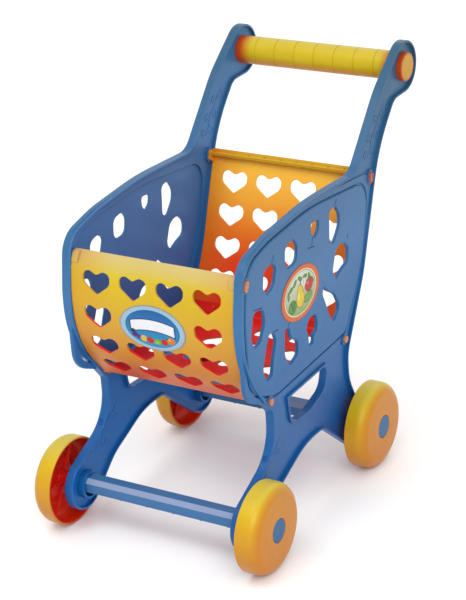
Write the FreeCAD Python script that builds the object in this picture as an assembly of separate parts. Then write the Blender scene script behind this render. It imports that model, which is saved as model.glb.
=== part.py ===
import FreeCAD, Part
import math
import os

from FreeCAD import Vector

# Toy shopping trolley: two moulded side frames, a basket hung between them, a tube
# handle, and four wheels that turn freely on two steel rods.
#
# Axes: X across the trolley, +Y towards the handle (the back), +Z up.
# Outlines are drawn in the side view as (distance behind the front axle, height,
# corner radius). The finished pieces are then moved along Y, so that the origin is on
# the floor under the middle of the whole trolley. All sizes are in millimetres.

# ---------------------------------------------------------------- driving dimensions
# Overall
frame_gap = 181.4            # between the inner faces of the two side frames
wheelbase = 225.4            # front axle to rear axle
wheel_radius = 45.7
handle_back = 360.0          # handle centre behind the front axle
basket_floor = 148.0         # underside of the basket floor
tray_height = 146.5          # top of the tray's lip above the underside of its floor
rear_panel_height = 157.0    # top of the rear panel above the underside of the floor
handle_rise = 87.0           # handle centre above the top of the rear panel

# Side frame moulding
frame_depth = 9.3            # thickness across the rim
rim_wall = 2.4
web_wall = 2.6
web_set_in = 3.2             # inner face of the rim to inner face of the web
rim_rounding = 0.9
leaf_rise = 2.2              # raised leaf on the outside, hollow behind
leaf_rounding = 1.6
leaf_groove = 1.6            # between the leaf and the ridge round it
ridge_width = 6.0
ridge_rise = 1.4
ridge_rounding = 0.6
food_scale = 1.05            # food shapes, over the corners listed
food_ease = 0.82             # share of each side that their roundings take
cutout_step_width = 1.1      # step round each food shape
cutout_step_depth = 0.7
engraved_width = 1.3
engraved_depth = 0.8
foot_radius = 27.0
lobe_radius = 27.0           # round head of the arm, about the handle
boss_wall = 2.2

# Rods, wheels and hub caps
rod_radius = 2.5
rod_hold_clearance = 0.05    # rod in the feet
rod_run_clearance = 0.08     # wheel on the rod
wheel_width = 23.9
wheel_stand_off = 5.6        # outer face of the frame to the wheel's open edge
wheel_wall = 2.6
wheel_shoulder = 12.0        # big rounding between tread and face
wheel_dome = 1.5
wheel_dome_radius = 22.0
wheel_hub_radius = 8.0
wheel_rib_count = 6
wheel_rib_wall = 1.8
wheel_rib_set_in = 13.0      # ribs stay deep inside the cup
axle_boss_radius = 9.0
axle_boss_length = 2.5
hub_gap = 0.5                # side play between foot and wheel, and wheel and cap
cap_radius = 11.9
cap_thickness = 3.0
cap_set_in = 0.1
cap_edge_rounding = 0.6
cap_sleeve_radius = 4.4
cap_sleeve_length = 4.0
cap_gap = 0.3                # round the cap, which stays still while the wheel turns
rod_end_set_in = 1.5

# Crossbars: channels open below, with a bevel along both top edges
bar_depth = 19.0
bar_height = 14.3
bar_bevel = 4.2
bar_rounding = 1.0
bar_lip_rounding = 0.5
bar_wall = 2.0
bar_drop = 3.8               # lower edge of the channel below the rod's centre
bar_rib_pitch = 31.0
bar_rib_count = 6
bar_rib_wall = 2.0
bar_rib_drop = 1.2
socket_clearance = 0.3
socket_wall = 2.5
socket_length = 5.0

# Handle
handle_radius = 15.0
handle_wall = 2.5
ring_count = 7
ring_pitch = 23.4
ring_groove = 0.6
plug_head = 6.0
plug_rounding = 1.2
plug_spigot_length = 14.0
plug_clearance = 0.05
plug_hole_clearance = 0.15

# Basket: tray (front, curled bottom and floor) and rear panel
panel_wall = 2.2
side_clearance = 0.3         # basket end to frame
tray_set_in = 2.5            # front of the tray behind the front edge of the frame
tray_corner = 14.0
lip_radius = 16.0
lip_reach = 14.8             # top of the lip behind the top of the front edge
lip_bend = (4.4, 13.0)       # its bend behind the front edge and below the top
tray_gap = 0.1               # tray's back lip to the rear panel
tray_back_lip = 9.0
peg_radius = 3.7
peg_clearance = 0.2
peg_root_extra = 1.0
peg_root_length = 7.0
peg_rounding = 0.8
peg_stand_out = 1.0          # pegs beyond the outer face of the frame
rear_peg_set_in = 8.1        # in front of the end of the floor
rear_peg_rise = 2.0          # above the underside of the floor
slot_peg_length = 11.0
slot_peg_width = 6.0
prong_gap = 1.6
rear_set_in = 1.6            # rear panel in from the back edge of the frame
channel_depth = 12.0         # front to back, over the walls
channel_height = 4.5
channel_end_height = 11.0    # end walls, which carry the snap pegs
channel_rib_pitch = 18.7
channel_rib_count = 10
channel_rib_wall = 1.1
channel_rib_set_down = 1.2
channel_overlap = 1.0        # ribs and shelf into the panel, lip and end walls
channel_edge_rounding = 0.6
channel_corner = 1.5
channel_end_overhang = 1.5   # end walls in front of the lip
channel_end_rise = 0.5       # end walls above the lip
channel_end_front = 5.0      # height of their front edge
channel_end_corners = (2.5, 2.0, 3.0)  # top, front and bottom
rear_pin_radius = 2.0
rear_pin_clearance = 0.15
rear_pin_spacing = 61.5
rear_pin_tip = 1.2           # how far each pin stands through the lip

# Heart-shaped holes
heart_width = 30.5
heart_height = 24.0
heart_pitch_across = 41.0
heart_pitch_along = 35.2
heart_columns = 4
front_heart_start = 31.0     # along the tray from the end of its lip
front_heart_rows = 4
floor_heart_rows = 4
floor_heart_first = 78.0
floor_heart_pitch = 37.0
rear_heart_drop = 33.0       # below the top of the rear panel
rear_heart_rows = 4

# Stickers
label_thickness = 0.4
front_label_size = (73.5, 48.0)
front_label_height = 82.5    # centre above the basket floor
front_label_sweep = 60.0     # front to back, right through the curved front
side_label_size = (76.0, 54.0)
side_label_place = (119.0, 90.5)  # behind the front axle, above the basket floor

# ---------------------------------------------------------------- sizes worked out
axle_z = wheel_radius
lip_top = basket_floor + tray_height
rear_top = basket_floor + rear_panel_height
handle_height = rear_top + handle_rise
frame_in = frame_gap / 2
frame_out = frame_in + frame_depth
web_in = frame_in + web_set_in
web_out = web_in + web_wall
leaf_out = web_out + leaf_rise
leaf_in = leaf_out - web_wall
ridge_out = web_out + ridge_rise
peg_tip = frame_out + peg_stand_out
basket_end = frame_in - side_clearance
wheel_in = frame_out + wheel_stand_off
wheel_out = wheel_in + wheel_width
overall_back = handle_back + lobe_radius
front_axle_y = (wheel_radius - overall_back) / 2
bar_top = bar_height - bar_drop
socket_radius = math.hypot(bar_depth / 2 - bar_bevel, bar_top) + socket_clearance
socket_outer = socket_radius + socket_wall


# ---------------------------------------------------------------- outline helpers
def unit(angle):
    return (math.cos(math.radians(angle)), math.sin(math.radians(angle)))


def disc_corner(centre, radius, first, second):
    """Corner where the disc's tangents at two normal angles meet."""
    a = unit(first)
    b = unit(second)
    share = radius / (1 + a[0] * b[0] + a[1] * b[1])
    return (centre[0] + share * (a[0] + b[0]), centre[1] + share * (a[1] + b[1]), radius)


def tangent_normal(centre, radius, point, side):
    """Normal angle where the tangent through a point touches a disc; side is +1 or -1."""
    reach = math.hypot(point[0] - centre[0], point[1] - centre[1])
    towards = math.degrees(math.atan2(point[1] - centre[1], point[0] - centre[0]))
    return towards + side * math.degrees(math.acos(radius / reach))


def direction(start, end):
    length = math.hypot(end[0] - start[0], end[1] - start[1])
    return ((end[0] - start[0]) / length, (end[1] - start[1]) / length)


def offset_corners(corners, distance, closed=True):
    """Move an outline sideways, to the right of its direction of travel."""
    count = len(corners)
    moved = []
    for i, corner in enumerate(corners):
        before = corners[i - 1] if closed or i > 0 else None
        after = corners[(i + 1) % count] if closed or i < count - 1 else None
        u = direction(before, corner) if before else direction(corner, after)
        v = direction(corner, after) if after else u
        share = distance / (1 + u[0] * v[0] + u[1] * v[1])
        y = corner[0] + share * (u[1] + v[1])
        z = corner[1] - share * (u[0] + v[0])
        turn = u[0] * v[1] - u[1] * v[0]
        radius = corner[2] + math.copysign(distance, turn) if corner[2] else 0
        moved.append((y, z, max(radius, 0)))
    return moved


def eased(points):
    """Closed outline through the points, each rounded into its two sides."""
    corners = []
    for i, point in enumerate(points):
        before = points[i - 1]
        after = points[(i + 1) % len(points)]
        u = direction(before, point)
        v = direction(point, after)
        turn = math.acos(u[0] * v[0] + u[1] * v[1])
        side = min(math.dist(before, point), math.dist(point, after))
        corners.append((point[0], point[1], food_ease * side / 2 / math.tan(turn / 2)))
    return corners


def rounded_edges(corners, place, closed=True):
    """Lines and tangent arcs through a list of (a, b, radius) corners."""
    count = len(corners)
    points = [place(c[0], c[1]) for c in corners]
    stops = []
    for i, corner in enumerate(corners):
        at_end = not closed and i in (0, count - 1)
        if at_end or corner[2] == 0:
            stops.append((points[i], None, points[i]))
            continue
        u = (points[i - 1] - points[i]).normalize()
        v = (points[(i + 1) % count] - points[i]).normalize()
        half = u.getAngle(v) / 2
        reach = corner[2] / math.tan(half)
        middle = (u + v).normalize() * (corner[2] / math.sin(half) - corner[2])
        stops.append((points[i] + u * reach, points[i] + middle, points[i] + v * reach))
    edges = []
    for i, (start, middle, end) in enumerate(stops):
        if middle is not None:
            edges.append(Part.Arc(start, middle, end).toShape())
        if closed or i < count - 1:
            following = stops[(i + 1) % count][0]
            if end.distanceToPoint(following) > 1e-4:
                edges.append(Part.LineSegment(end, following).toShape())
    return edges


def side_place(y, z):
    return Vector(0, y, z)


def rounded_face(corners, place=side_place):
    return Part.Face(Part.Wire(rounded_edges(corners, place)))


def across(corners, x_from, x_to):
    """Side-view outline made solid between two places across the trolley."""
    solid = rounded_face(corners).extrude(Vector(x_to - x_from, 0, 0))
    solid.translate(Vector(x_from, 0, 0))
    return solid


def cylinder(radius, x_from, x_to, y, z):
    return Part.makeCylinder(radius, x_to - x_from, Vector(x_from, y, z), Vector(1, 0, 0))


def turned(corners, y, z):
    """Solid of revolution about an axle; corners are (x, distance from axle, radius)."""
    face = rounded_face(corners, lambda x, r: Vector(x, 0, r))
    solid = face.revolve(Vector(0, 0, 0), Vector(1, 0, 0), 360)
    solid.translate(Vector(0, y, z))
    return solid


def edges_at(solid, x):
    """Edges that lie wholly in the plane at x."""
    box = [(edge, edge.BoundBox) for edge in solid.Edges]
    return [edge for edge, b in box if abs(b.XMin - x) < 1e-3 and abs(b.XMax - x) < 1e-3]


def soften(solid, radius, x):
    return solid.makeFillet(radius, edges_at(solid, x))


def obround(y, z, width, length, tilt):
    """Slot outline round a centre, its long way turned by tilt from level."""
    along = unit(tilt)
    corners = []
    for side_along, side_over in ((1, 1), (1, -1), (-1, -1), (-1, 1)):
        a = side_along * length / 2
        b = side_over * width / 2
        corners.append((y + a * along[0] - b * along[1], z + a * along[1] + b * along[0], width / 2))
    return corners


def mirrored(solid):
    return solid.mirror(Vector(0, 0, 0), Vector(1, 0, 0))


# ---------------------------------------------------------------- outlines
front_foot = (0.0, axle_z)
rear_foot = (wheelbase, axle_z)


def frame_outline():
    """Side frame, clockwise from the front foot, seen with the handle to the right."""
    front_knee = (52.0, axle_z + 51.2, 45.0)
    front_arch = (51.7, axle_z + 7.5, 60.0)
    rear_knee = (wheelbase - 4.4, axle_z + 34.3, 12.0)
    rear_arch = (wheelbase - 75.4, axle_z + 29.3, 25.0)
    lobe = (handle_back, handle_height)
    front_low = tangent_normal(front_foot, foot_radius, front_arch, -1)
    front_high = tangent_normal(front_foot, foot_radius, front_knee, 1)
    rear_high = tangent_normal(rear_foot, foot_radius, rear_knee, -1)
    rear_low = tangent_normal(rear_foot, foot_radius, rear_arch, 1)
    arm_bend = (handle_back - 58, handle_height - 8.5, 120.0)
    lobe_front = tangent_normal(lobe, lobe_radius, arm_bend, -1)
    return [
        disc_corner(front_foot, foot_radius, front_low, 270),
        disc_corner(front_foot, foot_radius, 270, 180),
        disc_corner(front_foot, foot_radius, 180, front_high),
        front_knee,
        (52.0, basket_floor - 8, 8.0),
        (4.5, basket_floor + 52, 110.0),
        (4.5, basket_floor + 104, 120.0),
        (14.0, basket_floor + 160, 28.0),
        (64.0, basket_floor + 170.5, 150.0),
        (145.0, basket_floor + 175.5, 400.0),
        (241.0, handle_height - 75, 25.0),
        arm_bend,
        disc_corner(lobe, lobe_radius, lobe_front, 0),
        disc_corner(lobe, lobe_radius, 0, -90),
        (handle_back - lobe_radius, handle_height - lobe_radius, 18.0),
        (294.5, handle_height - 67, 140.0),
        (250.5, basket_floor + 56.6, 150.0),
        (wheelbase - 15.9, basket_floor - 15, 40.0),
        (wheelbase - 15.9, basket_floor - 45, 50.0),
        rear_knee,
        disc_corner(rear_foot, foot_radius, rear_high, 0),
        disc_corner(rear_foot, foot_radius, 0, -90),
        disc_corner(rear_foot, foot_radius, -90, rear_low),
        rear_arch,
        (112.0, axle_z + 30.8, 90.0),
        front_arch,
    ]


leaf_outline = [
    (14.0, basket_floor + 28, 35.0),
    (14.0, basket_floor + 102, 200.0),
    (24.0, basket_floor + 155, 30.0),
    (64.0, basket_floor + 163.5, 150.0),
    (146.0, basket_floor + 167.5, 300.0),
    (270.0, basket_floor + 152, 24.0),
    (252.0, basket_floor + 74, 120.0),
    (208.0, basket_floor + 9, 14.0),
    (60.0, basket_floor + 6, 50.0),
]

window_outline = [
    (85.0, basket_floor - 8, 3.0),
    (166.0, basket_floor - 8, 7.0),
    (158.0, basket_floor - 32, 16.0),
    (125.0, basket_floor - 40.5, 40.0),
    (89.0, basket_floor - 38, 14.0),
]

# Food shapes cut through the raised leaf: centre above the basket floor, then the
# corners round it, which are eased into curves.
food_cutouts = {
    "plum": ((63, 128), [(-9, 10), (4, 13), (12, 6), (6, -9), (-6, -13), (-12, -6)]),
    "loaf": ((105, 135), [(-9, 11), (6, 13), (12, 5), (9, -10), (-11, -10)]),
    "glass": ((155, 144), [(-7, 7), (7, 5), (6, -4), (-2, -9), (-7, -3)]),
    "sundae": ((194, 133), [(-8, 15), (3, 17), (11, 5), (9, -6), (-3, -18), (-10, -14)]),
    "ham": ((204, 93), [(-8, 11), (6, 14), (16, 4), (14, -9), (0, -12), (-11, -17), (-16, -8)]),
    "croissant": ((179, 54), [(-12, 21), (-4, 13), (8, 6), (17, -11), (5, -21), (-3, -12),
                (-8, 2), (-14, 14)]),
    "lolly": ((140, 42), [(-12, 6), (-4, 14), (6, 13), (9, 3), (6, -4), (0, -4), (-1, -13),
                (-8, -13), (-8, -2)]),
    "pear": ((96, 42), [(-9, 22), (-2, 20), (-1, 9), (12, 2), (11, -12), (-5, -16), (-12, -3)]),
    "bottle": ((55, 51), [(1, 21), (8, 20), (12, 10), (6, -2), (1, -20), (-9, -20), (-13, -8),
                (-6, 8)]),
    "jar": ((37, 89), [(-6, 17), (9, 14), (12, 1), (2, -15), (-9, -16), (-13, -6)]),
}

# Straight strokes engraved beside the food shapes: both ends, above the basket floor.
engraved_strokes = {
    "glass stem": ((149, 137), (146, 128)),
    "glass foot": ((138, 129), (151, 126)),
    "plum stalk": ((68.5, 143), (73, 148)),
    "sundae tip": ((197, 152.5), (200, 156)),
    "ham bone": ((219, 108), (221, 111)),
    "pear stalk": ((92, 66), (96, 69.5)),
    "bottle cap": ((65.5, 72.5), (72, 71.5)),
    "jar lid": ((31, 109), (45, 106)),
}

front_peg = (50.0, basket_floor + 5)
front_slot_peg = (18.5, basket_floor + 138.5, 62.0)
rear_slot_peg = (275.0, rear_top - 4.0, 78.0)


def slot_outline(peg, extra):
    return obround(peg[0], peg[1], slot_peg_width + 2 * extra, slot_peg_length + 2 * extra, peg[2])


def stroke_outline(start, end):
    length = math.hypot(end[0] - start[0], end[1] - start[1]) + engraved_width
    tilt = math.degrees(math.atan2(end[1] - start[1], end[0] - start[0]))
    y = (start[0] + end[0]) / 2
    z = basket_floor + (start[1] + end[1]) / 2
    return obround(y, z, engraved_width, length, tilt)


# ---------------------------------------------------------------- side frame
def side_frame():
    """Right side frame; the left one is its mirror image."""
    outline = frame_outline()
    frame = across(outline, frame_in, frame_out)
    frame = soften(frame, rim_rounding, frame_out)
    frame = soften(frame, rim_rounding, frame_in)
    pocket = offset_corners(outline, rim_wall)
    frame = frame.cut(across(pocket, web_out, frame_out + 1))
    frame = frame.cut(across(pocket, frame_in - 1, web_in))
    leaf = soften(across(leaf_outline, web_in, leaf_out), leaf_rounding, leaf_out)
    frame = frame.fuse(leaf)
    frame = frame.cut(across(offset_corners(leaf_outline, rim_wall), frame_in - 1, leaf_in))
    frame = frame.fuse(leaf_ridge())
    return frame.fuse(frame_additions()).cut(frame_holes()).removeSplitter()


def leaf_ridge():
    """Low flat ridge that runs round the leaf, a groove away from it."""
    inner = offset_corners(leaf_outline, -leaf_groove)
    outer = offset_corners(leaf_outline, -leaf_groove - ridge_width)
    ridge = across(outer, web_in, ridge_out).cut(across(inner, web_in - 1, ridge_out + 1))
    return soften(ridge, ridge_rounding, ridge_out)


def frame_additions():
    """Window rim, bosses and sockets that stand up from the web."""
    added = [across(offset_corners(window_outline, -boss_wall), frame_in, leaf_out)]
    for y, z in tray_peg_places():
        added.append(cylinder(peg_radius + peg_clearance + boss_wall, frame_in, leaf_out, y, z))
    for peg in (front_slot_peg, rear_slot_peg):
        added.append(across(slot_outline(peg, peg_clearance + boss_wall), frame_in, leaf_out))
    for y in (0, wheelbase):
        added.append(cylinder(socket_outer, frame_in - socket_length, web_out, y, axle_z))
        added.append(cylinder(axle_boss_radius, web_in, frame_out + axle_boss_length, y, axle_z))
    return added


def frame_holes():
    """Everything cut through or into the frame once its bosses are on."""
    far = frame_out + axle_boss_length + 1
    near = frame_in - socket_length - 1
    holes = [across(window_outline, near, far)]
    for y, z in tray_peg_places():
        holes.append(cylinder(peg_radius + peg_clearance, near, far, y, z))
    for peg in (front_slot_peg, rear_slot_peg):
        holes.append(across(slot_outline(peg, peg_clearance), near, far))
    for centre, corners in food_cutouts.values():
        shape = eased([(centre[0] + y * food_scale, basket_floor + centre[1] + z * food_scale)
                       for y, z in corners])
        holes.append(across(shape, near, far))
        step = offset_corners(shape, -cutout_step_width)
        holes.append(across(step, leaf_out - cutout_step_depth, far))
    for start, end in engraved_strokes.values():
        holes.append(across(stroke_outline(start, end), leaf_out - engraved_depth, far))
    for y in (0, wheelbase):
        holes.append(cylinder(socket_radius, near, web_in, y, axle_z))
        holes.append(cylinder(rod_radius + rod_hold_clearance, near, far, y, axle_z))
    spigot_radius = handle_radius - handle_wall - plug_clearance
    holes.append(cylinder(spigot_radius + plug_hole_clearance, near, far, handle_back, handle_height))
    return holes


# ---------------------------------------------------------------- basket
def heart_outline():
    """Heart with its point down, round its own centre."""
    w = heart_width / 2
    h = heart_height / 2
    half = [(0.50 * w, h, 0.40 * w), (w, 0.85 * h, 0.42 * w), (w, -0.05 * h, 0.55 * w)]
    other = [(-a, b, r) for a, b, r in reversed(half)]
    return [(0, 0.66 * h, 0.25 * w)] + half + [(0, -h, 0.24 * w)] + other


def heart_cutter(x, y, z, slope):
    """Heart-shaped punch; slope is the panel's upward direction in the side view."""
    face = rounded_face(heart_outline(), lambda a, b: Vector(a, 0, b))
    punch = face.extrude(Vector(0, 6 * panel_wall, 0))
    punch.translate(Vector(0, -3 * panel_wall, 0))
    punch.rotate(Vector(0, 0, 0), Vector(1, 0, 0), slope - 90)
    punch.translate(Vector(x, y, z))
    return punch


def heart_places():
    middle = (heart_columns - 1) / 2
    return [(i - middle) * heart_pitch_across for i in range(heart_columns)]


def front_edge():
    """The part of the frame's outline that the tray follows, from the top down."""
    front = frame_outline()[4:7]
    front.reverse()
    return offset_corners(front, -tray_set_in, closed=False)


def tray_path():
    """Outer surface of the tray in the side view, from lip to back of the floor."""
    upper, lower, knee = front_edge()
    lip = (upper[0] + lip_reach, lip_top, 0)
    bend = (upper[0] + lip_bend[0], lip_top - lip_bend[1], lip_radius)
    u = direction(lower, knee)
    run = (basket_floor - lower[1]) / u[1]
    corner = (lower[0] + run * u[0], basket_floor, tray_corner)
    behind = panel_wall + tray_gap
    foot, waist = offset_corners(rear_path()[:2], -behind, closed=False)
    lip_up = direction(foot, waist)
    drop = (basket_floor - foot[1]) / lip_up[1]
    floor_end = (foot[0] + drop * lip_up[0], basket_floor, 3.0)
    back = (foot[0] + tray_back_lip * lip_up[0], foot[1] + tray_back_lip * lip_up[1], 0)
    return [lip, bend, upper, lower, corner, floor_end, back]


def rear_path():
    """Back surface of the rear panel, from the bottom up, beside the frame's back edge."""
    back_edge = frame_outline()[15:18]
    back_edge.reverse()
    low, waist, high = offset_corners(back_edge, -rear_set_in, closed=False)
    u = direction(low, waist)
    rise = (basket_floor - low[1]) / u[1]
    v = direction(waist, high)
    climb = (rear_top - waist[1]) / v[1]
    bottom = (low[0] + rise * u[0], basket_floor, 0)
    return [bottom, waist, (waist[0] + climb * v[0], rear_top, 0)]


def wall_section(path, thickness):
    """Closed outline of a wall that lies to the left of an open path."""
    return path + list(reversed(offset_corners(path, -thickness, closed=False)))


def path_point(path, distance):
    """Point and upward slope at a distance along an open path."""
    wire = Part.Wire(rounded_edges(path, side_place, closed=False))
    for edge in wire.OrderedEdges:
        if distance <= edge.Length:
            break
        distance -= edge.Length
    first = edge.getParameterByLength(distance)
    point = edge.valueAt(first)
    along = edge.tangentAt(first)
    if edge.Orientation == "Reversed":
        point = edge.valueAt(edge.getParameterByLength(edge.Length - distance))
        along = edge.tangentAt(edge.getParameterByLength(edge.Length - distance)) * -1
    return point, math.degrees(math.atan2(-along.z, -along.y))


def basket_tray():
    path = tray_path()
    tray = across(wall_section(path, panel_wall), -basket_end, basket_end)
    tray = tray.fuse(tray_pegs_both_sides())
    return tray.cut(tray_hearts() + rear_pins(rear_pin_clearance)).removeSplitter()


def tray_hearts():
    """Rows down the curved front, then rows along the floor; the label covers two."""
    cutters = []
    columns = heart_places()
    for row in range(front_heart_rows):
        point, slope = path_point(tray_path(), front_heart_start + row * heart_pitch_along)
        for x in columns:
            behind_label = row == 1 and abs(x) < heart_pitch_across
            if not behind_label:
                cutters.append(heart_cutter(x, point.y, point.z, slope))
    for row in range(floor_heart_rows):
        for x in columns:
            y = floor_heart_first + row * floor_heart_pitch
            cutters.append(heart_cutter(x, y, basket_floor, 180))
    return cutters


def tray_peg_places():
    """Centres of the two round pegs, one under the front and one near the floor's end."""
    floor_end = tray_path()[5]
    return [front_peg, (floor_end[0] - rear_peg_set_in, basket_floor + rear_peg_rise)]


def tray_pegs_both_sides():
    """Pegs that snap through the side frames, on roots that widen into the tray."""
    root = basket_end - peg_root_length
    pegs = []
    for y, z in tray_peg_places():
        pegs.append(soften(cylinder(peg_radius, root, peg_tip, y, z), peg_rounding, peg_tip))
        pegs.append(cylinder(peg_radius + peg_root_extra, root, basket_end, y, z))
    slot_peg = across(slot_outline(front_slot_peg, 0), root, peg_tip)
    pegs.append(soften(slot_peg, peg_rounding, peg_tip))
    pegs.append(across(slot_outline(front_slot_peg, 2 * peg_root_extra), root, basket_end))
    return pegs + [mirrored(peg) for peg in pegs]


def rear_pins(extra):
    """Pins that hold the foot of the rear panel to the tray's back lip."""
    along = direction(*rear_path()[:2])
    y = rear_path()[0][0] + along[0] * tray_back_lip / 2
    z = basket_floor + along[1] * tray_back_lip / 2
    inward = Vector(0, -along[1], along[0])
    reach = 1.5 * panel_wall + tray_gap + rear_pin_tip
    pins = []
    for place in (-1, 0, 1):
        start = Vector(place * rear_pin_spacing, y, z) - inward * -0.5 * panel_wall
        pins.append(Part.makeCylinder(rear_pin_radius + extra, reach, start, inward))
    return pins


def rear_panel():
    path = rear_path()
    panel = across(wall_section(path, panel_wall), -basket_end, basket_end)
    panel = panel.fuse(rear_channel(path) + rear_snaps() + rear_pins(0))
    hearts = []
    for row in range(rear_heart_rows):
        point, slope = path_point(list(reversed(path)), rear_heart_drop + row * heart_pitch_along)
        hearts += [heart_cutter(x, point.y, point.z, slope) for x in heart_places()]
    return panel.cut(hearts).removeSplitter()


def rear_channel(path):
    """Shallow channel along the top with a front lip and cross ribs, and end walls."""
    top = path[-1]
    up = direction(path[-2], top)
    lean = up[0] / up[1]
    front = top[0] - channel_depth
    shelf = rear_top - channel_height
    back_low = top[0] - lean * channel_height - channel_overlap
    back_high = top[0] - channel_overlap
    inside = front + channel_overlap
    lip = [(front, shelf, channel_corner), (front, rear_top, channel_edge_rounding),
           (front + panel_wall, rear_top, channel_edge_rounding),
           (front + panel_wall, shelf + panel_wall, 0), (back_low, shelf + panel_wall, 0),
           (back_low, shelf, 0)]
    rib_top = rear_top - channel_rib_set_down
    rib_low = shelf + channel_overlap
    rib = [(inside, rib_top, 0), (back_high, rib_top, 0), (back_low, rib_low, 0), (inside, rib_low, 0)]
    end_low = rear_top - channel_end_height
    end_back = top[0] - lean * channel_end_height - channel_overlap
    end_front = front - channel_end_overhang
    end_top = rear_top + channel_end_rise
    at_top, at_front, at_bottom = channel_end_corners
    end_wall = [(end_front, end_top, at_top), (back_high, end_top, 0), (end_back, end_low, 0),
                (inside, end_low, at_bottom), (end_front, rear_top - channel_end_front, at_front)]
    pieces = [across(lip, -basket_end, basket_end)]
    for x in (-basket_end, basket_end - panel_wall):
        pieces.append(across(end_wall, x, x + panel_wall))
    for i in range(channel_rib_count):
        x = (i - (channel_rib_count - 1) / 2) * channel_rib_pitch
        pieces.append(across(rib, x - channel_rib_wall / 2, x + channel_rib_wall / 2))
    return pieces


def rear_snaps():
    """Two-pronged pegs at both ends of the channel."""
    root = basket_end - panel_wall
    peg = soften(across(slot_outline(rear_slot_peg, 0), root, peg_tip), peg_rounding, peg_tip)
    y, z, tilt = rear_slot_peg
    gap = across(obround(y, z, prong_gap, slot_peg_length * 2, tilt), basket_end, peg_tip + 1)
    peg = peg.cut(gap)
    return [peg, mirrored(peg)]


# ---------------------------------------------------------------- handle
def handle_tube():
    tube = cylinder(handle_radius, -web_in, web_in, handle_back, handle_height)
    tube = tube.cut(cylinder(handle_radius - handle_wall, -web_in, web_in, handle_back, handle_height))
    for i in range(ring_count):
        x = (i - (ring_count - 1) / 2) * ring_pitch
        centre = Vector(x, handle_back, handle_height)
        tube = tube.cut(Part.makeTorus(handle_radius, ring_groove, centre, Vector(1, 0, 0)))
    return tube


def handle_plug():
    """Right end plug: a head outside the arm and a spigot through it into the tube."""
    tip = web_out + plug_head
    head = soften(cylinder(handle_radius, web_out, tip, handle_back, handle_height), plug_rounding, tip)
    spigot_radius = handle_radius - handle_wall - plug_clearance
    spigot = cylinder(spigot_radius, web_out - plug_spigot_length, web_out, handle_back, handle_height)
    return head.fuse(spigot).removeSplitter()


# ---------------------------------------------------------------- running gear
def crossbar(y):
    """Channel between two feet, open below, ribbed inside, over the steel rod."""
    half = bar_depth / 2
    low = axle_z - bar_drop
    top = axle_z + bar_top
    outer = [(y - half, low, bar_lip_rounding), (y - half, top - bar_bevel, bar_rounding),
             (y - half + bar_bevel, top, bar_rounding), (y + half - bar_bevel, top, bar_rounding),
             (y + half, top - bar_bevel, bar_rounding), (y + half, low, bar_lip_rounding)]
    inner = offset_corners(outer, bar_wall)
    inner[0] = (inner[0][0], low - 1, 0)
    inner[-1] = (inner[-1][0], low - 1, 0)
    end = web_in - socket_clearance
    bar = across(outer, -end, end).cut(across(inner, -end - 1, end + 1))
    rib = [(y - half + 1, low - bar_rib_drop, 0.5), (y - half + 1, top - bar_bevel, 0),
           (y - half + bar_bevel, top - 1, 0), (y + half - bar_bevel, top - 1, 0),
           (y + half - 1, top - bar_bevel, 0), (y + half - 1, low - bar_rib_drop, 0.5)]
    ribs = []
    for i in range(bar_rib_count):
        x = (i - (bar_rib_count - 1) / 2) * bar_rib_pitch
        ribs.append(across(rib, x - bar_rib_wall / 2, x + bar_rib_wall / 2))
    bar = bar.fuse(ribs)
    return bar.cut(cylinder(rod_radius + rod_hold_clearance, -end, end, y, axle_z)).removeSplitter()


def axle_rod(y):
    end = wheel_out - rod_end_set_in
    return cylinder(rod_radius, -end, end, y, axle_z)


def hub_cap(y):
    """Right hub cap: a disc flush with the wheel, pressed on the rod by its sleeve."""
    face = wheel_out - cap_set_in
    back = face - cap_thickness
    profile = [(back - cap_sleeve_length, rod_radius, 0), (back - cap_sleeve_length, cap_sleeve_radius, 0.4),
               (back, cap_sleeve_radius, 0), (back, cap_radius, 0), (face, cap_radius, cap_edge_rounding),
               (face, 0, 0), (wheel_out - rod_end_set_in, 0, 0), (wheel_out - rod_end_set_in, rod_radius, 0)]
    return turned(profile, y, axle_z)


def wheel(y):
    """Right wheel: a cup open towards the frame, with a hub, ribs and a cap recess."""
    bore = rod_radius + rod_run_clearance
    hub_end = frame_out + axle_boss_length + hub_gap
    face_in = wheel_out - cap_thickness - cap_gap - 2 * wheel_wall
    recess = wheel_out - cap_set_in - cap_thickness - cap_gap
    sleeve_end = recess - cap_sleeve_length
    sleeve = cap_sleeve_radius + cap_gap
    shoulder = wheel_out - wheel_dome
    tread_in = wheel_radius - wheel_wall
    profile = [
        (hub_end, bore, 0),
        (hub_end, wheel_hub_radius, 0.8),
        (face_in, wheel_hub_radius, 1.5),
        (face_in, cap_radius + 2 * wheel_wall, 3.0),
        (shoulder - wheel_wall, wheel_dome_radius + 3, 6.0),
        (shoulder - wheel_wall, tread_in, wheel_shoulder - wheel_wall),
        (wheel_in, tread_in, 0.8),
        (wheel_in, wheel_radius, 1.2),
        (shoulder, wheel_radius, wheel_shoulder),
        (wheel_out, wheel_dome_radius, 60.0),
        (wheel_out, cap_radius + cap_gap, 0.5),
        (recess, cap_radius + cap_gap, 0),
        (recess, sleeve, 0),
        (sleeve_end, sleeve, 0),
        (sleeve_end, bore, 0),
    ]
    cup = turned(profile, y, axle_z)
    ribs = []
    inner = wheel_hub_radius - 1
    for i in range(wheel_rib_count):
        rib = Part.makeBox(face_in + 1 - wheel_in - wheel_rib_set_in, wheel_rib_wall,
                           tread_in + 1 - inner,
                           Vector(wheel_in + wheel_rib_set_in, y - wheel_rib_wall / 2, axle_z + inner))
        rib.rotate(Vector(0, y, axle_z), Vector(1, 0, 0), 360 / wheel_rib_count * (i + 0.5))
        ribs.append(rib)
    return cup.fuse(ribs).removeSplitter()


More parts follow.
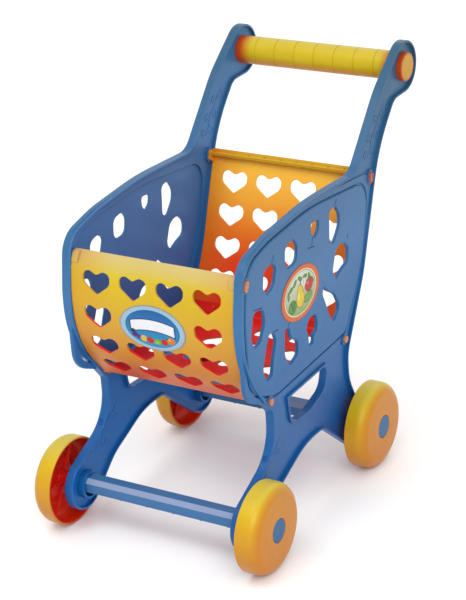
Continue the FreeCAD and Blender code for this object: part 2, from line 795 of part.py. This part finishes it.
# ---------------------------------------------------------------- stickers
def ellipse_wire(centre, size, long_way, normal):
    ring = Part.Ellipse(centre + long_way * (size[0] / 2),
                        centre + normal.cross(long_way) * (size[1] / 2), centre)
    return Part.Wire(ring.toShape())


def front_label():
    """Oval sticker that follows the curved front of the tray."""
    skin = across(wall_section(tray_path(), -label_thickness), -basket_end, basket_end)
    centre = Vector(0, -front_label_sweep / 2, basket_floor + front_label_height)
    oval = Part.Face(ellipse_wire(centre, front_label_size, Vector(1, 0, 0), Vector(0, 1, 0)))
    return skin.common(oval.extrude(Vector(0, front_label_sweep, 0)))


def side_label():
    """Oval sticker on the raised leaf of the right frame."""
    centre = Vector(leaf_out, side_label_place[0], basket_floor + side_label_place[1])
    oval = Part.Face(ellipse_wire(centre, side_label_size, Vector(0, 1, 0), Vector(1, 0, 0)))
    return oval.extrude(Vector(label_thickness, 0, 0))


# ---------------------------------------------------------------- assembly
def trolley():
    """Every piece by name, in place."""
    right_frame = side_frame()
    right_plug = handle_plug()
    right_label = side_label()
    pieces = {
        "side_frame_right": right_frame,
        "side_frame_left": mirrored(right_frame),
        "basket_tray": basket_tray(),
        "rear_panel": rear_panel(),
        "handle_tube": handle_tube(),
        "handle_plug_right": right_plug,
        "handle_plug_left": mirrored(right_plug),
        "front_label": front_label(),
        "side_label_right": right_label,
        "side_label_left": mirrored(right_label),
    }
    for end, y in (("front", 0.0), ("rear", wheelbase)):
        right_wheel = wheel(y)
        right_cap = hub_cap(y)
        pieces[end + "_crossbar"] = crossbar(y)
        pieces[end + "_axle"] = axle_rod(y)
        pieces["wheel_" + end + "_right"] = right_wheel
        pieces["wheel_" + end + "_left"] = mirrored(right_wheel)
        pieces["hub_cap_" + end + "_right"] = right_cap
        pieces["hub_cap_" + end + "_left"] = mirrored(right_cap)
    return pieces


os.makedirs("parts", exist_ok=True)
for name, shape in trolley().items():
    shape.translate(Vector(0, front_axle_y, 0))
    shape.exportStep("parts/" + name + ".step")
    box = shape.BoundBox
    sizes = f"{box.XLength:.1f} x {box.YLength:.1f} x {box.ZLength:.1f} mm"
    print(f"{name:20s} solids {len(shape.Solids)} valid {shape.isValid()} {sizes}")
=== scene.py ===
import math

import bpy
from mathutils import Matrix, Vector


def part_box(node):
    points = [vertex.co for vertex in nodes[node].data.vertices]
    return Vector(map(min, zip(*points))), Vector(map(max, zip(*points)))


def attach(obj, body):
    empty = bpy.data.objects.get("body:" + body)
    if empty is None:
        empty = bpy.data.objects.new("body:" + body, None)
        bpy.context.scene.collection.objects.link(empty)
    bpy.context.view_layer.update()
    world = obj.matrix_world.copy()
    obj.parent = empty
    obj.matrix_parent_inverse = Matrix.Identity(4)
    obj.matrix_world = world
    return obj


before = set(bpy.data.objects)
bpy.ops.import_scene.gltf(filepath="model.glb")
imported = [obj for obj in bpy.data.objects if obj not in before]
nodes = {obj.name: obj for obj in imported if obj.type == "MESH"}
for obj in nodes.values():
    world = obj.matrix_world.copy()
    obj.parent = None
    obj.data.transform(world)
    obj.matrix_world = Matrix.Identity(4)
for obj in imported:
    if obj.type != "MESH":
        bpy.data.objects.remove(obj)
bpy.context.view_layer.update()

# Looks of a toy shopping trolley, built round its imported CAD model. Metres throughout,
# with X across the trolley, +Y towards the handle and +Z up.

MM = 0.001

# Camera
AZIMUTH = 31.885             # degrees round from the front towards the right
ELEVATION = 24.337
ROLL = -4.062
LENS = 114.1                 # focal length in millimetres
CAMERA_PLACE = (924.7, -1332.0, 990.2)  # millimetres; Y from the front axle

# Light
LIGHT = 1.36                 # brightness of a white surface that faces the camera
SHEEN = 0.030                # what the gloss adds to every channel
GAMMA = 2.2                  # of the screen
DARKEST, BRIGHTEST = 0.006, 0.92  # limits of a base colour
WORLD_STRENGTH = 0.9
LAMPS = {                    # place in metres, width, power in watts
    "key": ((1.4, -1.6, 1.8), 1.6, 24),
    "top": ((-0.3, -1.0, 2.3), 1.3, 16),
    "back": ((-0.3, 2.0, 1.6), 1.2, 5),
}
LAMP_TARGET = (0, 0, 0.2)
FLOOR_HALF = 6.0

# Places on the trolley, in metres
PEG_STARTS = 0.093           # |x| beyond which the tray and rear panel are pegs
PANEL_CHANNEL = 0.299        # height where the rear panel's top channel begins
PLUG_HEAD = 6.0 * MM         # end plug outside the arm's face
PLUG_SHADE_RIM = (0.0118, 0.0146)  # where the end plug's face turns to rim, which painted shade makes orange-red
TUBE_END_SHADE = (0.076, 0.088)   # |x| over which painted shade turns the handle tube orange-red

# Scrolls, in millimetres behind the front axle and above the floor
ARM_STEM = [(274, 322), (281, 331), (286, 341), (296, 349), (304, 359), (314, 366)]
ARM_CURLS = [(0.02, 1), (0.16, -1), (0.34, 1), (0.5, -1), (0.68, 1), (0.84, -1)]
LEG_STEM = [(22, 68), (34, 78), (44, 90), (58, 98), (70, 108)]
LEG_CURLS = [(0.05, 1), (0.25, -1), (0.5, 1), (0.75, -1)]
CURL_SIZE = 8.5
ARM_RELIEF = 0.4
LEG_RELIEF = 0.28


def middle(node):
    low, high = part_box(node)
    return (low + high) / 2


# ---------------------------------------------------------------- camera, floor, light
def make_camera():
    """Low three-quarter view from the front right, slightly rolled, with a long lens."""
    azimuth = math.radians(AZIMUTH)
    elevation = math.radians(ELEVATION)
    roll = math.radians(ROLL)
    place = Vector(CAMERA_PLACE) * MM
    place.y += middle("front_axle").y
    forward = Vector((-math.sin(azimuth) * math.cos(elevation),
                      math.cos(azimuth) * math.cos(elevation), -math.sin(elevation)))
    level = Vector((math.cos(azimuth), math.sin(azimuth), 0))
    upright = level.cross(forward)
    right = level * math.cos(roll) + upright * math.sin(roll)
    up = -level * math.sin(roll) + upright * math.cos(roll)
    lens = bpy.data.cameras.new("camera")
    lens.lens = LENS
    lens.clip_start = 0.05
    lens.clip_end = 50
    camera = bpy.data.objects.new("camera", lens)
    camera.matrix_world = Matrix((right, up, -forward)).transposed().to_4x4()
    camera.location = place
    bpy.context.scene.collection.objects.link(camera)
    bpy.context.scene.camera = camera


def make_floor():
    """Pale studio floor, wide enough to fill the view."""
    half = FLOOR_HALF
    corners = [(-half, -half, 0), (half, -half, 0), (half, half, 0), (-half, half, 0)]
    mesh = bpy.data.meshes.new("floor")
    mesh.from_pydata(corners, [], [(0, 1, 2, 3)])
    floor = bpy.data.objects.new("floor", mesh)
    bpy.context.scene.collection.objects.link(floor)
    mat, tree, shader = new_material("floor_paper")
    shader.inputs["Roughness"].default_value = 0.9
    tone = ramp(tree, noise(tree, position(tree), 3.0, 2.0), [(0, grey(0.93)), (1, grey(0.95))])
    join(tree, tone, shader.inputs["Base Color"])
    mesh.materials.append(mat)


def area_light(name, place, target, size, power):
    data = bpy.data.lights.new(name, "AREA")
    data.shape = "DISK"
    data.size = size
    data.energy = power
    lamp = bpy.data.objects.new(name, data)
    lamp.location = place
    lamp.rotation_euler = (Vector(target) - Vector(place)).to_track_quat("-Z", "Y").to_euler()
    bpy.context.scene.collection.objects.link(lamp)


def make_light():
    """Three soft lamps and an even white surround."""
    for name, (place, size, power) in LAMPS.items():
        area_light(name, place, LAMP_TARGET, size, power)
    world = bpy.data.worlds.new("studio")
    world.use_nodes = True
    surround = world.node_tree.nodes["Background"]
    surround.inputs["Color"].default_value = (1, 1, 1, 1)
    surround.inputs["Strength"].default_value = WORLD_STRENGTH
    bpy.context.scene.world = world
    bpy.context.scene.view_settings.view_transform = "Standard"


# ---------------------------------------------------------------- shader building blocks
def new_material(name):
    mat = bpy.data.materials.new(name)
    mat.use_nodes = True
    return mat, mat.node_tree, mat.node_tree.nodes["Principled BSDF"]


def join(tree, source, target):
    tree.links.new(source, target)


def feed(tree, socket, value):
    """Link a socket, or set a plain value."""
    if isinstance(value, bpy.types.NodeSocket):
        join(tree, value, socket)
    else:
        socket.default_value = value


def position(tree):
    return tree.nodes.new("ShaderNodeTexCoord").outputs["Object"]


def axes(tree, vector):
    split = tree.nodes.new("ShaderNodeSeparateXYZ")
    join(tree, vector, split.inputs[0])
    return split.outputs


def facing(tree):
    return axes(tree, tree.nodes.new("ShaderNodeTexCoord").outputs["Normal"])


def sums(tree, kind, first, second=0.0):
    node = tree.nodes.new("ShaderNodeMath")
    node.operation = kind
    feed(tree, node.inputs[0], first)
    feed(tree, node.inputs[1], second)
    return node.outputs[0]


def between(tree, value, low, high):
    """0 below low, 1 above high, straight between; low may be the greater."""
    node = tree.nodes.new("ShaderNodeMapRange")
    join(tree, value, node.inputs["Value"])
    node.inputs["From Min"].default_value = low
    node.inputs["From Max"].default_value = high
    return node.outputs["Result"]


def ramp(tree, factor, stops):
    node = tree.nodes.new("ShaderNodeValToRGB")
    elements = node.color_ramp.elements
    while len(elements) < len(stops):
        elements.new(0.5)
    for element, (place, colour) in zip(elements, stops):
        element.position = place
        element.color = (*colour, 1)
    join(tree, factor, node.inputs["Fac"])
    return node.outputs["Color"]


def blend(tree, factor, below, above):
    """Colour below, covered by the colour above as the factor rises."""
    node = tree.nodes.new("ShaderNodeMix")
    node.data_type = "RGBA"
    feed(tree, node.inputs[0], factor)
    feed(tree, node.inputs[6], below if isinstance(below, bpy.types.NodeSocket) else (*below, 1))
    feed(tree, node.inputs[7], above if isinstance(above, bpy.types.NodeSocket) else (*above, 1))
    return node.outputs[2]


def noise(tree, vector, scale, detail):
    node = tree.nodes.new("ShaderNodeTexNoise")
    node.inputs["Scale"].default_value = scale
    node.inputs["Detail"].default_value = detail
    join(tree, vector, node.inputs["Vector"])
    return node.outputs["Fac"]


def grey(level):
    return (level, level, level)


def seen(red, green, blue, lit=1.0):
    """Base colour that looks like this screen colour, where lit is its share of the light."""
    base = []
    for channel in (red, green, blue):
        level = (channel / 255) ** GAMMA
        base.append(min(BRIGHTEST, max(DARKEST, (level - SHEEN) / LIGHT / lit)))
    return tuple(base)


def by_height(tree, stops, wander=0.012, lit=1.0):
    """Colours by height in millimetres, edges a little uneven."""
    low = stops[0][0] * MM
    high = stops[-1][0] * MM
    place = position(tree)
    uneven = sums(tree, "MULTIPLY", sums(tree, "SUBTRACT", noise(tree, place, 14.0, 3.0), 0.5), wander)
    height = sums(tree, "ADD", axes(tree, place)["Z"], uneven)
    scaled = [((z * MM - low) / (high - low), seen(*colour, lit)) for z, colour in stops]
    return ramp(tree, between(tree, height, low, high), scaled)


def off_axis(tree, centre):
    """Distance from the line along X through a centre."""
    out = axes(tree, position(tree))
    y = sums(tree, "SUBTRACT", out["Y"], centre.y)
    z = sums(tree, "SUBTRACT", out["Z"], centre.z)
    total = sums(tree, "ADD", sums(tree, "MULTIPLY", y, y), sums(tree, "MULTIPLY", z, z))
    return sums(tree, "SQRT", total)


def off_middle(tree):
    return sums(tree, "ABSOLUTE", axes(tree, position(tree))["X"])


def plastic(name, colour, roughness=0.34, bump=0.10, edge=0.0005):
    """Injection-moulded plastic: fine orange-peel, scuffs, and softly rounded edges."""
    mat, tree, shader = new_material(name)
    shader.inputs["Coat Weight"].default_value = 0.06
    shader.inputs["Coat Roughness"].default_value = 0.2
    shader.inputs["Specular IOR Level"].default_value = 0.24
    place = position(tree)
    flow = between(tree, noise(tree, place, 22.0, 5.0), 0.35, 0.75)
    shade = tree.nodes.new("ShaderNodeHueSaturation")
    join(tree, sums(tree, "ADD", sums(tree, "MULTIPLY", flow, 0.07), 0.965), shade.inputs["Value"])
    join(tree, colour(tree), shade.inputs["Color"])
    join(tree, shade.outputs["Color"], shader.inputs["Base Color"])

    scuff = between(tree, noise(tree, place, 90.0, 6.0), 0.3, 0.8)
    join(tree, sums(tree, "ADD", sums(tree, "MULTIPLY", scuff, 0.12), roughness - 0.05),
         shader.inputs["Roughness"])

    rounded = tree.nodes.new("ShaderNodeBevel")
    rounded.samples = 4
    rounded.inputs["Radius"].default_value = edge
    relief = tree.nodes.new("ShaderNodeBump")
    relief.inputs["Strength"].default_value = bump
    relief.inputs["Distance"].default_value = 0.0004
    join(tree, noise(tree, place, 420.0, 2.0), relief.inputs["Height"])
    join(tree, rounded.outputs["Normal"], relief.inputs["Normal"])
    join(tree, relief.outputs["Normal"], shader.inputs["Normal"])
    return mat


def steel(name):
    """Drawn steel rod with fine marks along it."""
    mat, tree, shader = new_material(name)
    shader.inputs["Metallic"].default_value = 1.0
    stretch = tree.nodes.new("ShaderNodeMapping")
    stretch.inputs["Scale"].default_value = (0.05, 1, 1)
    join(tree, position(tree), stretch.inputs["Vector"])
    marks = noise(tree, stretch.outputs["Vector"], 900.0, 3.0)
    tone = ramp(tree, marks, [(0.3, grey(0.42)), (0.7, grey(0.55))])
    join(tree, tone, shader.inputs["Base Color"])
    join(tree, sums(tree, "ADD", sums(tree, "MULTIPLY", marks, 0.2), 0.18), shader.inputs["Roughness"])
    return mat


# ---------------------------------------------------------------- colours of each moulding
def frame_colour(tree):
    """Strong blue at the feet, greyer towards the handle as painted sheen; faces turned inwards get a
    brighter base, painted light that offsets the shade between the frames.
    """
    # Painted sheen: the outer faces turn greyer with height.
    stops = [(0, (40, 106, 172)), (110, (42, 108, 172)), (180, (62, 116, 172)),
             (250, (78, 126, 178)), (310, (76, 118, 162)), (415, (76, 110, 138))]
    outside = by_height(tree, stops, 0.03)
    # Painted light: faces turned inwards take bases brightened as if only two thirds of the light reached
    # them.
    stops = [(0, (36, 104, 168)), (140, (40, 106, 168)), (300, (76, 118, 170)), (415, (70, 108, 144))]
    within_lifted_for_shade = by_height(tree, stops, 0.03, 0.66)
    across = sums(tree, "MULTIPLY", facing(tree)["X"], axes(tree, position(tree))["X"])
    return blend(tree, between(tree, across, -0.02, -0.07), outside, within_lifted_for_shade)


def bar_colour(tree):
    """Blue, with a painted highlight that turns the two long bevels pale, and painted light that makes it a
    little lighter higher up.
    """
    out = facing(tree)
    # Painted highlight: faces turned both up and forwards or backwards go pale.
    bevel_highlight = between(tree, sums(tree, "MULTIPLY", out["Z"], sums(tree, "ABSOLUTE", out["Y"])), 0.25, 0.4)
    base = by_height(tree, [(0, (60, 112, 168)), (60, (84, 128, 178))])
    return blend(tree, bevel_highlight, base, seen(150, 168, 204))


def cap_colour(tree):
    """Plain blue, with painted light making it a little lighter towards the top."""
    return by_height(tree, [(20, (56, 106, 156)), (70, (60, 114, 162))])


def tray_colour(tree):
    """Painted shade turns the curled bottom red-orange, then orange, then yellow, and a painted highlight
    makes the lip pale; painted shade turns the inside red and the ends more orange, and the pegs get a
    painted highlight.
    """
    stops = [(146, (232, 92, 62)), (158, (230, 112, 64)), (178, (228, 140, 68)), (205, (226, 160, 68)),
             (235, (224, 176, 66)), (268, (226, 192, 56)), (279, (226, 198, 70)), (286, (220, 196, 108)),
             (297, (220, 198, 136))]
    colour = by_height(tree, stops)
    # Painted shade: more orange towards the ends.
    painted_end_shade = between(tree, off_middle(tree), 0.045, 0.095)
    colour = blend(tree, sums(tree, "MULTIPLY", painted_end_shade, 0.45), colour, seen(222, 144, 68))
    out = facing(tree)
    height = axes(tree, position(tree))["Z"]
    # Painted shade: faces turned back or up, low inside the basket, go red.
    inside = between(tree, sums(tree, "MAXIMUM", out["Y"], out["Z"]), 0.15, 0.5)
    painted_inner_shade = sums(tree, "MULTIPLY", inside, between(tree, height, 0.268, 0.225))
    colour = blend(tree, painted_inner_shade, colour, seen(206, 58, 48, 0.6))
    # Painted highlight: the pegs beyond PEG_STARTS turn pale pink.
    peg_highlight = between(tree, off_middle(tree), PEG_STARTS - 0.5 * MM, PEG_STARTS + 0.5 * MM)
    return blend(tree, peg_highlight, colour, seen(214, 140, 106))


def panel_colour(tree):
    """Painted shade: yellow in the middle, orange at the ends, red low down in front, on bases brightened to
    offset the shade inside the basket; the top channel gets a colour for full light, and the pegs get a
    painted highlight.
    """
    stops = [(146, (206, 60, 46)), (200, (210, 80, 52)), (235, (216, 124, 60)), (262, (222, 158, 70)),
             (285, (226, 170, 74)), (308, (228, 176, 70))]
    # Painted shade and painted light: red low down, with every base brightened as if only 58 percent of the
    # light reached it.
    colour = by_height(tree, stops, lit=0.58)
    height = axes(tree, position(tree))["Z"]
    # Painted light: the channel on top takes a colour for full light.
    top = between(tree, height, PANEL_CHANNEL - 2 * MM, PANEL_CHANNEL + 2.5 * MM)
    colour = blend(tree, top, colour, seen(230, 180, 56))
    # Painted shade: more orange towards the ends.
    painted_end_shade = between(tree, off_middle(tree), 0.05, 0.095)
    colour = blend(tree, sums(tree, "MULTIPLY", painted_end_shade, 0.6), colour, seen(226, 128, 56, 0.75))
    # Painted highlight: pale pegs.
    peg_highlight = between(tree, off_middle(tree), PEG_STARTS - 0.5 * MM, PEG_STARTS + 0.5 * MM)
    return blend(tree, peg_highlight, colour, seen(206, 120, 96))


def tube_colour(tree):
    """Yellow tube with painted shade, orange below and orange-red towards the plugs, and a painted highlight
    along its crown.
    """
    out = facing(tree)
    # Painted shade: faces turned down go orange.
    below = between(tree, out["Z"], -0.1, -0.75)
    colour = blend(tree, below, seen(222, 194, 44), seen(222, 140, 48))
    # Painted highlight: faces turned up go pale.
    crown_highlight = between(tree, out["Z"], 0.6, 1.0)
    colour = blend(tree, sums(tree, "MULTIPLY", crown_highlight, 0.6), colour, seen(222, 202, 96))
    # Painted shade: orange-red where the tube meets the arms.
    ends = between(tree, off_middle(tree), *TUBE_END_SHADE)
    return blend(tree, ends, colour, seen(214, 92, 56))


def plug_colour(centre):
    """Orange-yellow face, painted a little yellower higher up as painted light, inside an edge that painted
    shade turns orange-red.
    """
    def colour(tree):
        rim_shade = between(tree, off_axis(tree, centre), *PLUG_SHADE_RIM)
        face = by_height(tree, [(370, (214, 150, 40)), (410, (218, 170, 44))])
        return blend(tree, rim_shade, face, seen(204, 92, 50))
    return colour


def wheel_colour(centre, radius, side):
    """Yellow-orange tread and face, with painted light making them yellower and paler higher up, and painted
    shade turning the inside of the cup red.
    """
    def colour(tree):
        height = axes(tree, position(tree))["Z"]
        # Painted light and shade: the tread runs from orange low down to pale yellow on top.
        tread = by_height(tree, [(0, (206, 126, 66)), (30, (216, 146, 62)), (62, (226, 172, 56)),
                                 (80, (230, 194, 48)), (92, (226, 204, 90))])
        away = off_axis(tree, centre)
        face = sums(tree, "MULTIPLY", facing(tree)["X"], side)
        on_face = between(tree, face, 0.5, 0.95)
        # Painted light: the outer face a little yellower higher up.
        flat = ramp(tree, between(tree, height, 0.0, 90 * MM),
                    [(0, seen(218, 136, 40)), (1, seen(220, 148, 40))])
        outside = blend(tree, on_face, tread, flat)
        core = between(tree, away, radius - 0.8 * MM, radius - 2.2 * MM)
        inward = between(tree, face, 0.3, 0.1)
        # Painted shade: red lining inside the cup, on a base brightened for the shade there.
        painted_cup_shade = ramp(tree, between(tree, away, 0.0, radius),
                      [(0, seen(208, 52, 42, 0.62)), (1, seen(216, 70, 48, 0.62))])
        return blend(tree, sums(tree, "MULTIPLY", core, inward), outside, painted_cup_shade)
    return colour


# ---------------------------------------------------------------- stickers
def sticker_place(tree, centre, across):
    """Millimetres from a sticker's middle: along it, which is X or Y, then up."""
    out = axes(tree, position(tree))
    start = {"X": centre.x, "Y": centre.y}[across]
    along = sums(tree, "DIVIDE", sums(tree, "SUBTRACT", out[across], start), MM)
    up = sums(tree, "DIVIDE", sums(tree, "SUBTRACT", out["Z"], centre.z), MM)
    place = tree.nodes.new("ShaderNodeCombineXYZ")
    join(tree, along, place.inputs[0])
    join(tree, up, place.inputs[1])
    return place.outputs[0]


def reach(tree, place, centre, half, tilt=0.0):
    """Distance from an oval's middle, 1 on its edge."""
    node = tree.nodes.new("ShaderNodeMapping")
    node.vector_type = "TEXTURE"
    node.inputs["Location"].default_value = (*centre, 0)
    node.inputs["Rotation"].default_value = (0, 0, math.radians(tilt))
    node.inputs["Scale"].default_value = (*half, 1)
    join(tree, place, node.inputs["Vector"])
    length = tree.nodes.new("ShaderNodeVectorMath")
    length.operation = "LENGTH"
    join(tree, node.outputs["Vector"], length.inputs[0])
    return length.outputs["Value"]


def spots(tree, place, colour, ovals):
    """Ovals painted one over another: middle, half sizes, tilt, colour."""
    for centre, half, tilt, tint in ovals:
        inside = between(tree, reach(tree, place, centre, half, tilt), 1.06, 0.94)
        colour = blend(tree, inside, colour, seen(*tint))
    return colour


def bands(tree, place, half, field, rings):
    """Rings round the edge of an oval sticker: inner edge from 0 to 1, colour."""
    away = reach(tree, place, (0, 0), half)
    for inner, tint in rings:
        field = blend(tree, between(tree, away, inner - 0.008, inner + 0.008), field, seen(*tint))
    return field


def front_art(tree):
    """Blue oval with a pale border, a blank white ribbon and a row of fruit."""
    low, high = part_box("front_label")
    half = ((high.x - low.x) * 500, (high.z - low.z) * 500)
    place = sticker_place(tree, (low + high) / 2, "X")
    out = axes(tree, place)
    field = ramp(tree, between(tree, out["Y"], -20, 20), [(0, seen(50, 160, 208)), (1, seen(22, 104, 168))])
    bow = sums(tree, "MULTIPLY", sums(tree, "MULTIPLY", out["X"], out["X"]), 0.006)
    ribbon = sums(tree, "ABSOLUTE", sums(tree, "SUBTRACT", sums(tree, "ADD", out["Y"], bow), 4.0))
    span = sums(tree, "ABSOLUTE", out["X"])
    for wide, long, tint in ((6.4, 25.4, (26, 62, 128)), (5.4, 24.2, (246, 248, 250))):
        shape = sums(tree, "MULTIPLY", between(tree, ribbon, wide + 0.2, wide - 0.2),
                     between(tree, span, long + 0.2, long - 0.2))
        field = blend(tree, shape, field, seen(*tint))
    fruit = [((-21, -8.5), (3.2, 3.0), 0, (88, 52, 120)), ((-17, -11), (2.8, 2.6), 0, (110, 60, 140)),
             ((-22.5, -4.8), (2.4, 2.2), 0, (70, 44, 110)), ((-11.5, -12), (3.8, 3.4), 0, (228, 196, 80)),
             ((-4.5, -12.8), (4.2, 3.8), 0, (205, 44, 48)), ((-3.8, -9.6), (1.6, 0.7), 30, (60, 140, 60)),
             ((4, -13.5), (4.6, 3.2), 0, (126, 180, 70)), ((3, -14.2), (2.6, 1.2), 10, (166, 208, 110)),
             ((11.5, -12.5), (3.8, 3.6), 0, (205, 50, 52)), ((19, -10), (4.6, 4.0), 0, (232, 132, 50)),
             ((18, -8.8), (1.6, 1.2), 0, (244, 180, 110)), ((14.6, -8.4), (2.4, 0.9), 40, (60, 140, 60))]
    field = spots(tree, place, field, fruit)
    return bands(tree, place, half, field,
                 [(0.80, (40, 100, 160)), (0.825, (150, 205, 232)), (0.88, (176, 192, 208)),
                  (0.975, (120, 160, 190))])


def side_art(tree):
    """Orange ring round a pale field with leaves and plain fruit."""
    low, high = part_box("side_label_right")
    half = ((high.y - low.y) * 500, (high.z - low.z) * 500)
    place = sticker_place(tree, (low + high) / 2, "Y")
    out = axes(tree, place)
    field = ramp(tree, between(tree, out["Y"], -20, 18), [(0, seen(150, 178, 110)), (1, seen(226, 228, 208))])
    art = []
    for index, angle in enumerate((158, 136, 113, 90, 67, 44, 22)):
        turn = math.radians(angle)
        spot = (25.5 * math.cos(turn), 15.5 * math.sin(turn) - 1)
        tilt = angle + (60 if index % 2 else 110)
        art.append((spot, (4.6, 2.2), tilt, (40, 104, 52)))
        art.append((spot, (3.6, 1.4), tilt, (96, 160, 66)))
    art += [((-17, -9), (8.0, 7.0), 0, (52, 112, 56)), ((-17, -9), (6.6, 5.6), 0, (104, 158, 74)),
            ((-17.5, -8), (1.0, 5.6), 12, (52, 112, 56)), ((-14, -9), (0.9, 5.0), -16, (52, 112, 56)),
            ((17, 2), (8.2, 7.0), 0, (150, 34, 40)), ((17, 2), (7.2, 6.0), 0, (212, 58, 52)),
            ((14.8, 4.2), (1.8, 1.3), 30, (240, 150, 130)), ((18, 8), (3.4, 1.2), 25, (60, 128, 58)),
            ((7, 8), (4.6, 4.4), 0, (236, 234, 226)), ((7, 8), (1.2, 3.8), 10, (206, 204, 192)),
            ((14, -9.5), (9.0, 4.6), 12, (70, 120, 56)), ((14, -9.5), (8.0, 3.7), 12, (128, 172, 78)),
            ((-1, -6), (8.4, 9.4), 0, (140, 104, 30)), ((-1, 2.5), (5.8, 6.4), 0, (140, 104, 30)),
            ((-1, -6), (7.6, 8.6), 0, (238, 206, 52)), ((-1, 2.5), (5.0, 5.8), 0, (238, 206, 52)),
            ((-3.6, -3), (1.8, 3.4), -10, (248, 232, 130)), ((0.5, 9.6), (0.8, 2.4), -14, (110, 76, 40))]
    field = spots(tree, place, field, art)
    return bands(tree, place, half, field,
                 [(0.765, (84, 120, 60)), (0.785, (238, 230, 190)), (0.835, (226, 112, 44)),
                  (0.975, (196, 92, 44))])


# ---------------------------------------------------------------- moulded scrolls
def curl(start, heading, size, turn):
    """Spiral that leaves a point and winds into its own middle."""
    y, z = start
    points = [(y, z)]
    steps = 30
    whole_turn = 430
    for step in range(steps):
        done = step / steps
        angle = math.radians(heading + turn * whole_turn * done)
        stride = size * 0.155 * (1 - 0.86 * done)
        y += stride * math.cos(angle)
        z += stride * math.sin(angle)
        points.append((y, z))
    return points


def smooth(knots, steps=10):
    """Catmull-Rom curve through the knots, with that many steps between two of them."""
    ends = [knots[0]] + list(knots) + [knots[-1]]
    points = []
    for a, b, c, d in zip(ends, ends[1:], ends[2:], ends[3:]):
        for step in range(steps):
            t = step / steps
            points.append(tuple(0.5 * (2 * q + (r - p) * t + (2 * p - 5 * q + 4 * r - s) * t * t
                                       + (3 * q - p - 3 * r + s) * t ** 3)
                                for p, q, r, s in zip(a, b, c, d)))
    return points + [knots[-1]]


def vine(knots, size, curls):
    """Stem through the knots, with curls that leave it at either side."""
    stem = smooth(knots)
    lines = [stem]
    for share, side in curls:
        index = min(len(stem) - 2, int(share * len(stem)))
        here, after = stem[index], stem[index + 1]
        heading = math.degrees(math.atan2(after[1] - here[1], after[0] - here[0]))
        lines.append(curl(here, heading + 25 * side, size, side))
    return lines


def raised_lines(name, lines, x, thickness):
    """Half-sunk rounded lines on the side face at x; places are in millimetres."""
    origin = middle("front_axle").y
    around = 8
    flatness = 1.8
    verts = []
    faces = []
    for line in lines:
        first = len(verts)
        for i, (y, z) in enumerate(line):
            before, after = line[max(0, i - 1)], line[min(len(line) - 1, i + 1)]
            lie = math.atan2(after[1] - before[1], after[0] - before[0])
            share = min(i, len(line) - 1 - i) / (0.25 * len(line))
            size = thickness * min(1.0, 0.35 + share)
            for k in range(around):
                turn = 2 * math.pi * k / around
                flat = flatness * size * math.cos(turn)
                verts.append((x + size * math.sin(turn) * MM, origin + (y - flat * math.sin(lie)) * MM,
                              (z + flat * math.cos(lie)) * MM))
        for i in range(len(line) - 1):
            for k in range(around):
                a = first + i * around + k
                b = first + i * around + (k + 1) % around
                faces.append((a, b, b + around, a + around))
        faces.append(tuple(reversed(range(first, first + around))))
        last = first + (len(line) - 1) * around
        faces.append(tuple(range(last, last + around)))
    mesh = bpy.data.meshes.new(name)
    mesh.from_pydata(verts, [], faces)
    mesh.shade_smooth()
    piece = bpy.data.objects.new(name, mesh)
    bpy.context.scene.collection.objects.link(piece)
    return piece


def make_scrolls(material):
    """Vine relief moulded on both faces of the arms and legs."""
    arm = vine(ARM_STEM, CURL_SIZE, ARM_CURLS)
    leg = vine(LEG_STEM, CURL_SIZE, LEG_CURLS)
    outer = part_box("handle_plug_right")[1].x - PLUG_HEAD
    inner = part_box("handle_tube")[1].x
    for side, word in ((1, "right"), (-1, "left")):
        for x, face in ((outer, "outer"), (inner, "inner")):
            for lines, part, thickness in ((arm, "arm", ARM_RELIEF), (leg, "leg", LEG_RELIEF)):
                piece = raised_lines(f"scroll_{part}_{face}_{word}", lines, side * x, thickness)
                piece.data.materials.append(material)
                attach(piece, "frame")


# ---------------------------------------------------------------- put together
def paint(material, *names):
    for name in names:
        mesh = nodes[name].data
        mesh.materials.clear()
        mesh.materials.append(material)


def make_looks():
    blue = plastic("frame_blue", frame_colour)
    cap = plastic("cap_blue", cap_colour)
    paint(blue, "side_frame_right", "side_frame_left")
    paint(plastic("bar_blue", bar_colour), "front_crossbar", "rear_crossbar")
    paint(plastic("basket_yellow", tray_colour), "basket_tray")
    paint(plastic("panel_yellow", panel_colour), "rear_panel")
    paint(plastic("handle_yellow", tube_colour), "handle_tube")
    paint(plastic("plug_orange", plug_colour(middle("handle_plug_right"))),
          "handle_plug_right", "handle_plug_left")
    paint(steel("rod_steel"), "front_axle", "rear_axle")
    paint(plastic("front_sticker", front_art, 0.28, 0.03), "front_label")
    paint(plastic("side_sticker", side_art, 0.28, 0.03), "side_label_right", "side_label_left")
    for end in ("front", "rear"):
        for word, side in (("right", 1), ("left", -1)):
            wheel = f"wheel_{end}_{word}"
            low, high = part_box(wheel)
            colour = wheel_colour((low + high) / 2, (high.z - low.z) / 2, side)
            paint(plastic(f"{wheel}_yellow", colour), wheel)
            paint(cap, f"hub_cap_{end}_{word}")
    make_scrolls(blue)


make_camera()
make_floor()
make_light()
make_looks()
